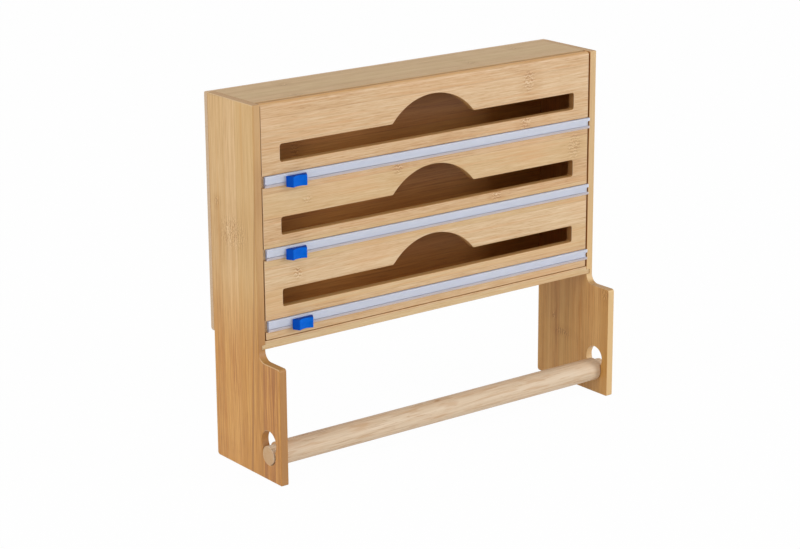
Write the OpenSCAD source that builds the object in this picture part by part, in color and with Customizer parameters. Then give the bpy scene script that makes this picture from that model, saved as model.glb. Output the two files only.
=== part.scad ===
// Wall dispenser for three rolls of film or foil, with a towel bar below.
// Millimetres. +X is to the right, the front faces -Y, +Z is up.
// The origin is on the floor under the middle of the outer box.

/* [Carcass] */
// Width over the side panels
overall_w = 360; // [330:1:420]
// Depth over the legs and the back panel
overall_d = 100; // [94:1:130]
// Depth of the box above the legs, with the back panel
box_d = 70.5; // [64:0.5:76]
// Thickness of the side panels
side_t = 7; // [6.5:0.5:10]
// Thickness of the top board
top_t = 7; // [6:0.5:10]
// Thickness of the bottom board
bottom_t = 7; // [6:0.5:9]
// Thickness of the two shelves
shelf_t = 5; // [4:0.5:7]
// Rise of a shelf's top over the level of its compartment
shelf_lift = 4.5; // [0:0.5:6]
// Thickness of the back panel
back_t = 5; // [4.5:0.5:8]
// Height of the underside of the bottom board above the floor
bottom_z = 108; // [90:1:140]
// Distance from the level of one compartment to the next
pitch = 60; // [56:1:75]
// Extra height over the top compartment, with the top board
crown_h = 15; // [12:1:30]
// How far the back panel reaches below the bottom board
back_drop = 0.7; // [0.2:0.1:5]
// Corner radius of the back panel
back_corner_r = 4; // [1:0.5:8]

/* [Legs] */
// Drop from the bottom board to the shoulder of the legs
shoulder_drop = 8.5; // [4:0.5:20]
// Radius of the hollow fillet above the shoulder
shoulder_fillet_r = 8; // [4:0.5:10]
// Radius of the shoulder's front corner
shoulder_corner_r = 2.5; // [1:0.5:5]
// Radius of the rear corner at the floor
heel_r = 3; // [1:0.5:8]
// Radius of the front corner at the top of the panel
brow_r = 1; // [0.5:0.5:4]

/* [Joinery] */
// Thickness of the tongues of the top and bottom boards
tongue_t = 4; // [2:0.5:5]
// Length of the tongues into the side panels
tongue_l = 3.2; // [2:0.1:4]
// Room left beyond the end of a tongue
dado_slack = 0.9; // [0.3:0.1:1.5]
// Glue gap round a tongue
glue_gap = 0.05; // [0.02:0.01:0.1]

/* [Flap] */
// Thickness of the flap, which is also the width of its round top edge
flap_t = 7; // [6.5:0.5:9]
// Gap between the flap and the left side panel
flap_left_gap = 1; // [0.6:0.1:2]
// Gap between the flap and the right side panel
flap_right_gap = 1.6; // [0.6:0.1:2.4]
// Gap between the flap and the bottom board
flap_bottom_gap = 0.5; // [0.3:0.1:2]
// Gap between the flap and the shelves that stop it
flap_stop_gap = 0.3; // [0.2:0.05:0.6]
// Gap between the flap's round edge and the top board
flap_top_gap = 1.2; // [0.6:0.1:2]

/* [Film slots] */
// Height of a slot's lower edge above the level of its compartment
slot_rise = 25.9; // [24:0.1:28]
// Height of a slot
slot_h = 14.7; // [10:0.1:18]
// Wood left between a slot and the flap's left end
slot_left_margin = 17.3; // [12:0.1:40]
// Wood left between a slot and the flap's right end
slot_right_margin = 16.7; // [12:0.1:40]
// Radius in the corners of a slot
slot_corner_r = 2; // [1:0.5:4]
// Width of the finger grip above a slot
grip_w = 85.6; // [60:0.2:110]
// Height of the finger grip above a slot
grip_h = 20.3; // [10:0.1:22]
// Radius where the grip meets the slot
grip_corner_r = 2; // [0.5:0.5:4]

/* [Rails] */
// Height of a rail
rail_h = 9.2; // [8:0.1:10]
// Distance from a slot's lower edge down to the rail's middle
rail_drop = 14.4; // [11:0.1:15]
// Depth of the groove that holds the rail
groove_d = 1.6; // [1.5:0.1:3]
// Gap left over the rail in its groove
groove_slack = 0.5; // [0.2:0.1:1]
// How far the rail stands out of the flap
rail_proud = 1.4; // [1.3:0.1:3]
// Thickness of the rail's front wall
rail_front_t = 0.8; // [0.6:0.1:0.9]
// Thickness of the rail's other walls
rail_wall_t = 0.6; // [0.5:0.1:0.7]
// Height of the slit in the rail's front wall
slit_h = 0.9; // [0.9:0.1:1.4]
// Distance of the slit below the rail's middle
slit_drop = 2.2; // [1:0.1:2.4]
// Distance from the flap's left end to the rail
rail_left_inset = 1.9; // [0:0.1:4]
// Gap between the rail and the right side panel
rail_right_gap = 0.4; // [0.3:0.1:4]
// Radius of the round-bottomed notch in the rail's right end
rail_notch_r = 2; // [1.9:0.1:2.6]
// Length of that notch
rail_notch_l = 3.2; // [2.7:0.1:5]

/* [Cutters] */
// Distance from the flap's left end to the upper cutter
upper_cutter_x = 31; // [20:0.1:320]
// Distance from the flap's left end to the middle cutter
middle_cutter_x = 29.5; // [20:0.1:320]
// Distance from the flap's left end to the lower cutter
lower_cutter_x = 34.4; // [20:0.1:320]
// Length of a knob at its back
knob_l = 20.4; // [18:0.2:26]
// Length of a knob at its front
knob_front_l = 13; // [10:0.2:16]
// Height of a knob
knob_h = 9.1; // [7:0.1:10]
// Height of a knob's middle above the slit
knob_lift = 0.6; // [0:0.1:1.5]
// Depth of a knob from back to front
knob_d = 6.5; // [5:0.1:9]
// Depth of the finger scoop in a knob's front
scoop_d = 2.2; // [0.8:0.1:2.4]
// Gap between a knob and its rail, where the film passes
film_gap = 0.4; // [0.2:0.05:1]
// Length of the shoe that runs in the rail
shoe_l = 14; // [11:0.5:18]
// Running gap between the shoe and the rail
shoe_gap = 0.2; // [0.1:0.05:0.25]
// Length of each of the two pegs that join the shoe to the knob
peg_l = 2.4; // [1.5:0.1:3]
// Distance between the middles of the two pegs
peg_pitch = 9; // [7:0.1:9]
// Running gap between a peg and the slit
peg_gap = 0.2; // [0.1:0.05:0.3]
// How far the pegs reach into the knob
peg_seat = 2.2; // [1:0.1:2.4]
// Length of a blade
blade_l = 4; // [2:0.1:4]
// Thickness of a blade
blade_t = 0.4; // [0.3:0.05:0.5]
// How far a blade reaches into the knob and into the shoe
blade_seat = 0.7; // [0.5:0.1:0.9]
// Gap round pegs and blades in their seats
seat_gap = 0.05; // [0.02:0.01:0.08]

/* [Towel bar] */
// Diameter of the towel bar
bar_d = 20; // [18:0.5:24]
// Diameter of the tenons at its ends
tenon_d = 16; // [12:0.5:16]
// How far the tenons stand out of the side panels
tenon_proud = 1; // [0:0.1:2]
// Gap between the bar's shoulders and the side panels
bar_end_gap = 0.5; // [0.3:0.1:1]
// Bevel on the bar's shoulders
bar_bevel = 0.8; // [0.3:0.1:1.2]
// Distance from the front of the legs back to the bar
bar_setback = 17.5; // [15:0.5:30]
// Height of the lowest point of the keyhole
keyhole_z = 13.6; // [10:0.2:30]
// Room round the tenon in the seat of the keyhole
keyhole_seat_room = 2.4; // [1:0.1:3]
// Room round the bar in the upper hole, through which it is drawn out
keyhole_pass_room = 0.6; // [0.6:0.1:3]
// Room beside the tenon in the neck of the keyhole
keyhole_neck_room = 0.8; // [0.6:0.1:1]
// Height of the upper hole's middle above the seat's middle
keyhole_rise = 9.7; // [9:0.1:20]
// Gap under the resting tenon
tenon_gap = 0.3; // [0.1:0.05:0.5]

/* [Hardware] */
// Diameter of the hinge pins
pin_d = 3; // [2:0.5:3.5]
// Depth of a hinge pin in its side panel
pin_side_l = 4.5; // [3:0.1:5]
// Depth of a hinge pin in the flap
pin_flap_l = 9; // [6:0.5:12]
// Running gap round a hinge pin
pin_gap = 0.05; // [0.02:0.01:0.1]
// Room beyond the end of a pin or screw in its hole
hole_slack = 0.4; // [0.2:0.1:1]
// Diameter of the magnets
magnet_d = 5; // [3:0.5:5]
// Length of the magnets
magnet_l = 3; // [2:0.5:3.5]
// Distance of a magnet from the middle
magnet_x = 112; // [50:1:140]
// Shank diameter of the back panel screws
screw_d = 3; // [2.5:0.5:3.5]
// Head diameter of the back panel screws
screw_head_d = 6; // [5:0.5:7]
// Length of the back panel screws
screw_l = 18; // [14:1:25]
// Length of the cross recess in a screw head
screw_cross_l = 3.6; // [2.4:0.1:4]
// Width of the cross recess in a screw head
screw_cross_w = 0.8; // [0.5:0.1:1]
// Depth of the cross recess in a screw head
screw_cross_d = 1; // [0.5:0.1:1.4]
// Distance of a screw in the top or bottom board from the middle
screw_x = 110; // [60:1:150]
// Diameter of the two wall holes in the back panel
wall_hole_d = 5; // [4:0.5:8]
// Distance between the two wall holes
wall_hole_spacing = 260; // [160:1:300]
// Height of the wall holes above the level of the top compartment
wall_hole_rise = 46; // [30:1:50]

/* [Hidden] */
$fn = 96;

// Overshoot of a cut past the face that it opens
cut = 1;

// Compartments, counted from the lowest
lower = 0;
middle = 1;
upper = 2;
compartments = 3;

// Colours
bamboo = [0.83, 0.68, 0.48];
bamboo_dark = [0.76, 0.60, 0.40];
dowel_wood = [0.80, 0.70, 0.55];
clear_plastic = [0.80, 0.81, 0.88];
blue_plastic = [0.02, 0.36, 0.85];
steel = [0.75, 0.76, 0.78];

// Main planes, across the width
half_w = overall_w / 2;
inner_x = half_w - side_t;
flap_left_x = -inner_x + flap_left_gap;
flap_right_x = inner_x - flap_right_gap;
slot_left_x = flap_left_x + slot_left_margin;
slot_right_x = flap_right_x - slot_right_margin;

// Main planes, front to back
leg_front_y = -overall_d / 2;
back_rear_y = overall_d / 2;
back_front_y = back_rear_y - back_t;
box_front_y = back_rear_y - box_d;
flap_rear_y = box_front_y + flap_t;
hinge_y = box_front_y + flap_t / 2;
shelf_front_y = flap_rear_y + flap_stop_gap;
top_front_y = flap_rear_y + flap_top_gap;

// Main planes, upwards
floor_z = bottom_z + bottom_t;
overall_h = floor_z + compartments * pitch + crown_h;
shoulder_z = bottom_z - shoulder_drop;
flap_bottom_z = floor_z + flap_bottom_gap;
hinge_z = overall_h - flap_t / 2;
top_under_z = overall_h - top_t;
back_bottom_z = bottom_z - back_drop;

// Wall holes
wall_hole_z = floor_z + upper * pitch + wall_hole_rise;

// Keyhole and bar
bar_y = leg_front_y + bar_setback;
keyhole_seat_d = tenon_d + keyhole_seat_room;
keyhole_pass_d = bar_d + keyhole_pass_room;
keyhole_seat_z = keyhole_z + keyhole_seat_d / 2;
bar_z = keyhole_z + tenon_gap + tenon_d / 2;

// Rail channel, in front of the groove floor
groove_floor_y = box_front_y + groove_d;
rail_front_y = box_front_y - rail_proud;
channel_rear_y = groove_floor_y - rail_wall_t;
channel_front_y = rail_front_y + rail_front_t;
channel_h = rail_h - 2 * rail_wall_t;
rail_left_x = flap_left_x + rail_left_inset;
rail_right_x = inner_x - rail_right_gap;

// Circle of the finger grip, from its chord and its height
grip_r = (grip_w * grip_w / 4 + grip_h * grip_h) / (2 * grip_h);

// Cutter
shoe_rear_y = channel_rear_y - shoe_gap;
shoe_front_y = channel_front_y + shoe_gap;
knob_rear_y = rail_front_y - film_gap;
peg_t = slit_h - 2 * peg_gap;

// Screws of the back panel
screw_side_x = half_w - side_t / 2;
screw_head_h = (screw_head_d - screw_d) / 2;
screw_top_z = overall_h - top_t / 2;
screw_bottom_z = bottom_z + bottom_t / 2;
screw_side_z = [for (i = [0:compartments - 1]) floor_z + (i + 0.5) * pitch - shelf_t / 2];

// Level of a compartment, underside of its shelf, lower edge of its slot and middle of its rail
function compartment_z(i) = floor_z + i * pitch;
function shelf_z(i) = compartment_z(i) + shelf_lift - shelf_t;
function slot_z(i) = compartment_z(i) + slot_rise;
function rail_z(i) = slot_z(i) - rail_drop;

// What an outer corner at the origin, with its material towards +x and +y, loses to a radius
module corner(r) {
    difference() {
        translate([-cut, -cut]) square(r + cut);
        translate([r, r]) circle(r);
    }
}

// Rectangle from the origin with the same radius in its four corners
module rounded_rectangle(w, h, r) {
    translate([r, 0]) square([w - 2 * r, h]);
    translate([0, r]) square([w, h - 2 * r]);
    for (x = [r, w - r], y = [r, h - r])
        translate([x, y]) circle(r);
}

// Extrusion of a front view (x, z) backwards from y
module from_front(y, depth) {
    translate([0, y + depth, 0]) rotate([90, 0, 0]) linear_extrude(depth) children();
}

// Extrusion of a side view (y, z) to the right from x
module from_side(x, width) {
    translate([x, 0, 0]) rotate([90, 0, 90]) linear_extrude(width) children();
}

// Block between two opposite corners
module block(low, high) {
    translate(low) cube(high - low);
}

// Round hole or rod along +X
module rod_x(d, l) {
    rotate([0, 90, 0]) cylinder(d = d, h = l);
}

// Round hole or rod along +Y
module rod_y(d, l) {
    rotate([-90, 0, 0]) cylinder(d = d, h = l);
}

// Side view of a side panel: the box above, the deeper leg below
module side_profile() {
    fillet = min(shoulder_fillet_r, box_front_y - leg_front_y - shoulder_corner_r);
    difference() {
        union() {
            translate([box_front_y, 0]) square([back_front_y - box_front_y, overall_h]);
            translate([leg_front_y, 0]) square([back_front_y - leg_front_y, shoulder_z]);
            translate([box_front_y - fillet, shoulder_z]) difference() {
                square(fillet);
                translate([0, fillet]) circle(fillet);
            }
        }
        translate([leg_front_y, shoulder_z]) mirror([0, 1]) corner(shoulder_corner_r);
        translate([back_front_y, 0]) mirror([1, 0]) corner(heel_r);
        translate([box_front_y, overall_h]) mirror([0, 1]) corner(brow_r);
        translate([bar_y, keyhole_seat_z]) keyhole();
    }
}

// Seat for the tenon, and above it the hole that lets the whole bar through
module keyhole() {
    neck_w = tenon_d + keyhole_neck_room;
    circle(d = keyhole_seat_d);
    translate([0, keyhole_rise]) circle(d = keyhole_pass_d);
    translate([-neck_w / 2, 0]) square([neck_w, keyhole_rise]);
}

// Groove in the left panel for a tongue that starts at the given front and height
module dado(front_y, z, t) {
    block(
        [-inner_x - tongue_l - dado_slack, front_y, z - glue_gap],
        [-inner_x + cut, back_front_y + cut, z + t + glue_gap]
    );
}

module side_panel() {
    difference() {
        from_side(-half_w, side_t) side_profile();
        dado(box_front_y - cut, bottom_z, tongue_t);
        dado(top_front_y - glue_gap, top_under_z, tongue_t);
        for (i = [1:compartments - 1])
            dado(shelf_front_y - glue_gap, shelf_z(i), shelf_t);
        translate([-inner_x - pin_side_l - hole_slack, hinge_y, hinge_z])
            rod_x(pin_d + 2 * pin_gap, pin_side_l + hole_slack + cut);
        for (z = screw_side_z)
            translate([-screw_side_x, 0, z]) screw_hole();
    }
}

module left_side_panel() {
    color(bamboo) side_panel();
}

module right_side_panel() {
    color(bamboo) mirror([1, 0, 0]) side_panel();
}

// Board between the panels, with a tongue along the lower part of each end
module tongued_board(front_y, z, t, tongue) {
    block([-inner_x, front_y, z], [inner_x, back_front_y, z + t]);
    block([-inner_x - tongue_l, front_y, z], [inner_x + tongue_l, back_front_y, z + tongue]);
}

module top_board() {
    color(bamboo_dark) difference() {
        tongued_board(top_front_y, top_under_z, top_t, tongue_t);
        for (side = [-1, 1])
            translate([side * screw_x, 0, screw_top_z]) screw_hole();
    }
}

module bottom_board() {
    color(bamboo) difference() {
        tongued_board(box_front_y, bottom_z, bottom_t, tongue_t);
        for (side = [-1, 1])
            translate([side * screw_x, 0, screw_bottom_z]) screw_hole();
        magnets(floor_z - magnet_l, seat_gap);
    }
}

module shelf(i) {
    tongued_board(shelf_front_y, shelf_z(i), shelf_t, shelf_t);
}

module upper_shelf() {
    color(bamboo_dark) shelf(upper);
}

module lower_shelf() {
    color(bamboo_dark) shelf(middle);
}

module back_panel() {
    color(bamboo_dark) difference() {
        from_front(back_front_y, back_t)
            translate([-half_w, back_bottom_z])
                rounded_rectangle(overall_w, overall_h - back_bottom_z, back_corner_r);
        at_screws() screw_hole();
        for (side = [-1, 1])
            translate([side * wall_hole_spacing / 2, back_front_y - cut, wall_hole_z])
                rod_y(wall_hole_d, back_t + 2 * cut);
    }
}

// Places of the screws on the rear face
module at_screws() {
    for (side = [-1, 1]) {
        for (z = screw_side_z)
            translate([side * screw_side_x, 0, z]) children();
        for (z = [screw_top_z, screw_bottom_z])
            translate([side * screw_x, 0, z]) children();
    }
}

// Shank and countersunk head, widened all round by a gap
module screw_body(gap, extra) {
    translate([0, back_rear_y - screw_l - extra, 0])
        rod_y(screw_d + 2 * gap, screw_l + extra - screw_head_h / 2);
    translate([0, back_rear_y - screw_head_h, 0]) rotate([-90, 0, 0])
        cylinder(d1 = screw_d + 2 * gap, d2 = screw_head_d + 2 * gap, h = screw_head_h);
}

module screw_hole() {
    screw_body(seat_gap, hole_slack);
    translate([0, back_rear_y - seat_gap, 0]) rod_y(screw_head_d + 2 * seat_gap, cut);
}

module screw() {
    difference() {
        screw_body(0, 0);
        for (turn = [0, 90])
            rotate([0, turn, 0])
                block(
                    [-screw_cross_l / 2, back_rear_y - screw_cross_d, -screw_cross_w / 2],
                    [screw_cross_l / 2, back_rear_y + cut, screw_cross_w / 2]
                );
    }
}

module back_panel_screws() {
    color(steel) at_screws() screw();
}

// Pin that crosses the gap beside the flap, on the left
module hinge_pin(gap) {
    translate([-inner_x - pin_side_l, hinge_y, hinge_z])
        rod_x(pin_d, pin_side_l + gap + pin_flap_l);
}

module left_hinge_pin() {
    color(steel) hinge_pin(flap_left_gap);
}

module right_hinge_pin() {
    color(steel) mirror([1, 0, 0]) hinge_pin(flap_right_gap);
}

// The pair of magnets that starts at the given height
module magnets(z, gap) {
    for (side = [-1, 1])
        translate([side * magnet_x, hinge_y, z - gap])
            cylinder(d = magnet_d + 2 * gap, h = magnet_l + 2 * gap);
}

module bottom_board_magnets() {
    color(steel) magnets(floor_z - magnet_l, 0);
}

module flap_magnets() {
    color(steel) magnets(flap_bottom_z, 0);
}

// Front view of one film slot about its middle, its lower edge on the x axis, with the finger grip over it
module slot_profile() {
    half_l = (slot_right_x - slot_left_x) / 2;
    middle_z = slot_h + grip_h - grip_r;
    round_z = slot_h + grip_corner_r;
    reach = grip_r + grip_corner_r;
    round_x = sqrt(reach * reach - (round_z - middle_z) * (round_z - middle_z));
    touch_x = round_x * grip_r / reach;
    touch_z = middle_z + (round_z - middle_z) * grip_r / reach;
    translate([-half_l, 0]) rounded_rectangle(2 * half_l, slot_h, slot_corner_r);
    intersection() {
        translate([0, middle_z]) circle(grip_r, $fn = 180);
        translate([-grip_r, slot_h / 2]) square([2 * grip_r, slot_h / 2 + grip_h + cut]);
    }
    for (side = [0, 1])
        mirror([side, 0]) difference() {
            polygon([[0, slot_h - cut], [round_x, slot_h - cut], [round_x, round_z], [touch_x, touch_z]]);
            translate([round_x, round_z]) circle(grip_corner_r);
        }
}

module front_flap() {
    color(bamboo) difference() {
        union() {
            block([flap_left_x, box_front_y, flap_bottom_z], [flap_right_x, flap_rear_y, hinge_z]);
            translate([flap_left_x, hinge_y, hinge_z]) rod_x(flap_t, flap_right_x - flap_left_x);
        }
        for (i = [0:compartments - 1]) {
            from_front(box_front_y - cut, flap_t + 2 * cut)
                translate([(slot_left_x + slot_right_x) / 2, slot_z(i)]) slot_profile();
            block(
                [flap_left_x - cut, box_front_y - cut, rail_z(i) - rail_h / 2],
                [flap_right_x + cut, groove_floor_y, rail_z(i) + rail_h / 2 + groove_slack]
            );
        }
        for (x = [flap_left_x - cut, flap_right_x - pin_flap_l - hole_slack])
            translate([x, hinge_y, hinge_z])
                rod_x(pin_d + 2 * pin_gap, pin_flap_l + hole_slack + cut);
        magnets(flap_bottom_z, seat_gap);
    }
}

// Channel with a slit along its front and a notch in its right end
module rail(i) {
    notch_x = rail_right_x - rail_notch_l + rail_notch_r;
    color(clear_plastic) translate([0, 0, rail_z(i)]) difference() {
        block([rail_left_x, rail_front_y, -rail_h / 2], [rail_right_x, groove_floor_y, rail_h / 2]);
        block(
            [rail_left_x - cut, channel_front_y, -channel_h / 2],
            [rail_right_x + cut, channel_rear_y, channel_h / 2]
        );
        block(
            [rail_left_x - cut, rail_front_y - cut, -slit_drop - slit_h / 2],
            [rail_right_x + cut, channel_front_y + cut, -slit_drop + slit_h / 2]
        );
        translate([notch_x, rail_front_y - cut, 0]) rod_y(2 * rail_notch_r, rail_front_t + 2 * cut);
        block(
            [notch_x, rail_front_y - cut, -rail_notch_r],
            [rail_right_x + cut, channel_front_y + cut, rail_notch_r]
        );
    }
}

module upper_rail() {
    rail(upper);
}

module middle_rail() {
    rail(middle);
}

module lower_rail() {
    rail(lower);
}

// Moves a cutter's piece to its rail, with the slit as its height
module at_cutter(i, x) {
    translate([flap_left_x + x, 0, rail_z(i) - slit_drop]) children();
}

// The two pegs and the blade of a cutter, or the seats for them
module pegs(front_y, gap) {
    for (side = [-1, 1])
        translate([side * peg_pitch / 2, 0, 0])
            block(
                [-peg_l / 2 - gap, front_y - gap, -peg_t / 2 - gap],
                [peg_l / 2 + gap, shoe_front_y, peg_t / 2 + gap]
            );
}

module blade(gap) {
    block(
        [-blade_l / 2 - gap, knob_rear_y - blade_seat - gap, -blade_t / 2 - gap],
        [blade_l / 2 + gap, shoe_front_y + blade_seat + gap, blade_t / 2 + gap]
    );
}

// Plan of a knob: sloping ends and a front scooped out for the finger
module knob_profile() {
    half_front = knob_front_l / 2;
    scoop_r = (half_front * half_front + scoop_d * scoop_d) / (2 * scoop_d);
    difference() {
        polygon([[-knob_l / 2, 0], [-half_front, -knob_d], [half_front, -knob_d], [knob_l / 2, 0]]);
        translate([0, -knob_d + scoop_d - scoop_r]) circle(scoop_r);
    }
}

module cutter_knob(i, x) {
    color(blue_plastic) at_cutter(i, x) difference() {
        translate([0, knob_rear_y, knob_lift - knob_h / 2]) linear_extrude(knob_h) knob_profile();
        pegs(knob_rear_y - peg_seat, seat_gap);
        blade(seat_gap);
    }
}

module cutter_shoe(i, x) {
    color(clear_plastic) at_cutter(i, x) difference() {
        union() {
            translate([0, 0, slit_drop])
                block(
                    [-shoe_l / 2, shoe_front_y, -channel_h / 2 + shoe_gap],
                    [shoe_l / 2, shoe_rear_y, channel_h / 2 - shoe_gap]
                );
            pegs(knob_rear_y - peg_seat, 0);
        }
        blade(seat_gap);
    }
}

module cutter_blade(i, x) {
    color(steel) at_cutter(i, x) blade(0);
}

module upper_cutter_knob() {
    cutter_knob(upper, upper_cutter_x);
}

module upper_cutter_shoe() {
    cutter_shoe(upper, upper_cutter_x);
}

module upper_cutter_blade() {
    cutter_blade(upper, upper_cutter_x);
}

module middle_cutter_knob() {
    cutter_knob(middle, middle_cutter_x);
}

module middle_cutter_shoe() {
    cutter_shoe(middle, middle_cutter_x);
}

module middle_cutter_blade() {
    cutter_blade(middle, middle_cutter_x);
}

module lower_cutter_knob() {
    cutter_knob(lower, lower_cutter_x);
}

module lower_cutter_shoe() {
    cutter_shoe(lower, lower_cutter_x);
}

module lower_cutter_blade() {
    cutter_blade(lower, lower_cutter_x);
}

// Dowel turned down to a tenon at each end, with bevelled shoulders and ends
module towel_bar() {
    shoulder_x = inner_x - bar_end_gap;
    end_x = half_w + tenon_proud;
    color(dowel_wood) translate([0, bar_y, bar_z]) rotate([0, 90, 0]) rotate_extrude()
        polygon([
            [0, -end_x],
            [tenon_d / 2 - bar_bevel, -end_x],
            [tenon_d / 2, -end_x + bar_bevel],
            [tenon_d / 2, -shoulder_x],
            [bar_d / 2 - bar_bevel, -shoulder_x],
            [bar_d / 2, -shoulder_x + bar_bevel],
            [bar_d / 2, shoulder_x - bar_bevel],
            [bar_d / 2 - bar_bevel, shoulder_x],
            [tenon_d / 2, shoulder_x],
            [tenon_d / 2, end_x - bar_bevel],
            [tenon_d / 2 - bar_bevel, end_x],
            [0, end_x]
        ]);
}

left_side_panel();
right_side_panel();
top_board();
bottom_board();
upper_shelf();
lower_shelf();
back_panel();
back_panel_screws();
left_hinge_pin();
right_hinge_pin();
bottom_board_magnets();
front_flap();
flap_magnets();
upper_rail();
middle_rail();
lower_rail();
upper_cutter_knob();
upper_cutter_shoe();
upper_cutter_blade();
middle_cutter_knob();
middle_cutter_shoe();
middle_cutter_blade();
lower_cutter_knob();
lower_cutter_shoe();
lower_cutter_blade();
towel_bar();
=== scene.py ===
import math

import bmesh
import bpy
from mathutils import Matrix, Vector


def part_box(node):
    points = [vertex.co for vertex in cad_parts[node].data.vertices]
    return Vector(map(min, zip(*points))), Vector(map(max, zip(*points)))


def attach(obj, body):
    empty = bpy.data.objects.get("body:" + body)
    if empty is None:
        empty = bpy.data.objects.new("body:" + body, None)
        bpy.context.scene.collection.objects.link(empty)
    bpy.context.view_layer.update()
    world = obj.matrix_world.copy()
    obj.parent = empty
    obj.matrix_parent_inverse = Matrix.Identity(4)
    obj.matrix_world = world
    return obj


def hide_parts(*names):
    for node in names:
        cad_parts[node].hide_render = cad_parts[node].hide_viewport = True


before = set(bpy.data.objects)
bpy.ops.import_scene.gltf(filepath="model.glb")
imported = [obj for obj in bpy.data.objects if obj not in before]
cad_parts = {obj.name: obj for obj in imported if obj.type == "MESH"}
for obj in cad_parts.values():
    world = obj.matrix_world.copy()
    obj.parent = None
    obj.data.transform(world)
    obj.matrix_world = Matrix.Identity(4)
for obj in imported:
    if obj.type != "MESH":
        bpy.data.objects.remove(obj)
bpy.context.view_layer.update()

mm = 0.001               # sizes below are millimetres, meshes are metres


# outlines

def sizes(node):
    low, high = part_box(node)
    return low / mm, high / mm


def arc(cx, cy, r, start, end, steps):
    turns = [math.radians(start + (end - start) * i / steps) for i in range(steps + 1)]
    return [(cx + r * math.cos(t), cy + r * math.sin(t)) for t in turns]


def hole(cx, cy, r, steps=40):
    return arc(cx, cy, r, 360, 0, steps)[:-1]    # clockwise, so that the wood is on its left


def rectangle(x0, y0, x1, y1, r=0):
    return rounded([(x0, y0, r), (x1, y0, r), (x1, y1, r), (x0, y1, r)])


def rounded(corners, steps=8):
    # each corner (x, y, r) becomes an arc that touches both of its sides
    outline = []
    for i, (x, y, r) in enumerate(corners):
        here = Vector((x, y))
        if r == 0:
            outline.append((x, y))
            continue
        before = (Vector(corners[i - 1][:2]) - here).normalized()
        after = (Vector(corners[(i + 1) % len(corners)][:2]) - here).normalized()
        half = before.angle(after) / 2
        centre = here + (before + after).normalized() * r / math.sin(half)
        first = here + before * r / math.tan(half) - centre
        last = here + after * r / math.tan(half) - centre
        start = math.degrees(math.atan2(first.y, first.x))
        turn = math.degrees(math.atan2(last.y, last.x)) - start
        turn = (turn + 180) % 360 - 180
        outline += arc(centre.x, centre.y, r, start, start + turn, steps)
    return outline


def shrink(loop, inset):
    # moves an outline into the wood on its left
    moved = []
    for i, point in enumerate(loop):
        here = Vector(point)
        into = (here - Vector(loop[i - 1])).normalized()
        away = (Vector(loop[(i + 1) % len(loop)]) - here).normalized()
        left0, left1 = Vector((-into.y, into.x)), Vector((-away.y, away.x))
        moved.append(here + (left0 + left1) * inset / (1 + left0.dot(left1)))
    return moved


# solids

overrun = 1              # how far a cutting tool runs past the wood
sharpTurn = 40           # degrees: edges that turn more are shaded sharp


def slab(loops, axis, low, high, lowArris=0, highArris=0, steps=4):
    # outlines drawn along an axis, with a round arris at each end
    spot = {
        "x": lambda u, v, t: (t, u, v),
        "y": lambda u, v, t: (u, t, v),
        "z": lambda u, v, t: (u, v, t),
    }[axis]

    def eased(arris):
        turns = [math.radians(90 * k / steps) for k in range(steps + 1)] if arris else [math.pi / 2]
        return [(arris * (1 - math.sin(t)), arris * (1 - math.cos(t))) for t in turns]

    rings = [(inset, low + rise) for inset, rise in eased(lowArris)]
    rings += [(inset, high - rise) for inset, rise in reversed(eased(highArris))]
    bm = bmesh.new()
    lowRim, highRim = [], []
    for loop in loops:
        rows = []
        for inset, t in rings:
            points = [spot(u, v, t) for u, v in shrink(loop, inset)]
            rows.append([bm.verts.new(Vector(p) * mm) for p in points])
        for a, b in zip(rows, rows[1:]):
            for i in range(len(loop)):
                bm.faces.new((a[i - 1], a[i], b[i], b[i - 1]))
        for row, rim in ((rows[0], lowRim), (rows[-1], highRim)):
            rim += [bm.edges.get((row[i - 1], row[i])) for i in range(len(row))]
    for rim in (lowRim, highRim):
        bmesh.ops.triangle_fill(bm, use_beauty=True, use_dissolve=False, edges=rim)
    bmesh.ops.recalc_face_normals(bm, faces=bm.faces)
    return bm


def turned(profile, y, z, steps=72):
    # (x, radius) points spun round a line along X
    bm = bmesh.new()
    rows = []
    for x, r in profile:
        rim = [(x, y + v, z + w) for v, w in hole(0, 0, r, steps)]
        rows.append([bm.verts.new(Vector(p) * mm) for p in rim])
    for a, b in zip(rows, rows[1:]):
        for i in range(steps):
            bm.faces.new((a[i - 1], a[i], b[i], b[i - 1]))
    for row in (rows[0], rows[-1]):
        bm.faces.new(row)
    bmesh.ops.recalc_face_normals(bm, faces=bm.faces)
    return bm


def solid(name, bm):
    mesh = bpy.data.meshes.new(name)
    bm.to_mesh(mesh)
    bm.free()
    obj = bpy.data.objects.new(name, mesh)
    bpy.context.scene.collection.objects.link(obj)
    return obj


def carve(obj, bm, operation="DIFFERENCE"):
    tool = solid("carvingTool", bm)
    cut = obj.modifiers.new("carve", "BOOLEAN")
    cut.operation = operation
    cut.solver = "MANIFOLD"
    cut.object = tool
    graph = bpy.context.evaluated_depsgraph_get()
    obj.data = bpy.data.meshes.new_from_object(obj.evaluated_get(graph))
    obj.modifiers.clear()
    bpy.data.objects.remove(tool)


def dress(obj, finish, slot, body, *nodes):
    obj.data.materials.clear()
    obj.data.materials.append(finish)
    obj.data.polygons.foreach_set("use_smooth", [True] * len(obj.data.polygons))
    obj.data.set_sharp_from_angle(angle=math.radians(sharpTurn))
    even = obj.modifiers.new("evenShading", "WEIGHTED_NORMAL")    # keeps the flats flat beside their arrises
    even.keep_sharp = True
    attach(obj, body)
    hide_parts(*nodes)


# shader maths

def paint(red, green, blue):
    # 0-255 screen colour as the linear colour that shaders use
    def linear(c):
        c = c / 255
        return c / 12.92 if c <= 0.04045 else ((c + 0.055) / 1.055) ** 2.4
    return (linear(red), linear(green), linear(blue), 1)


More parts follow.
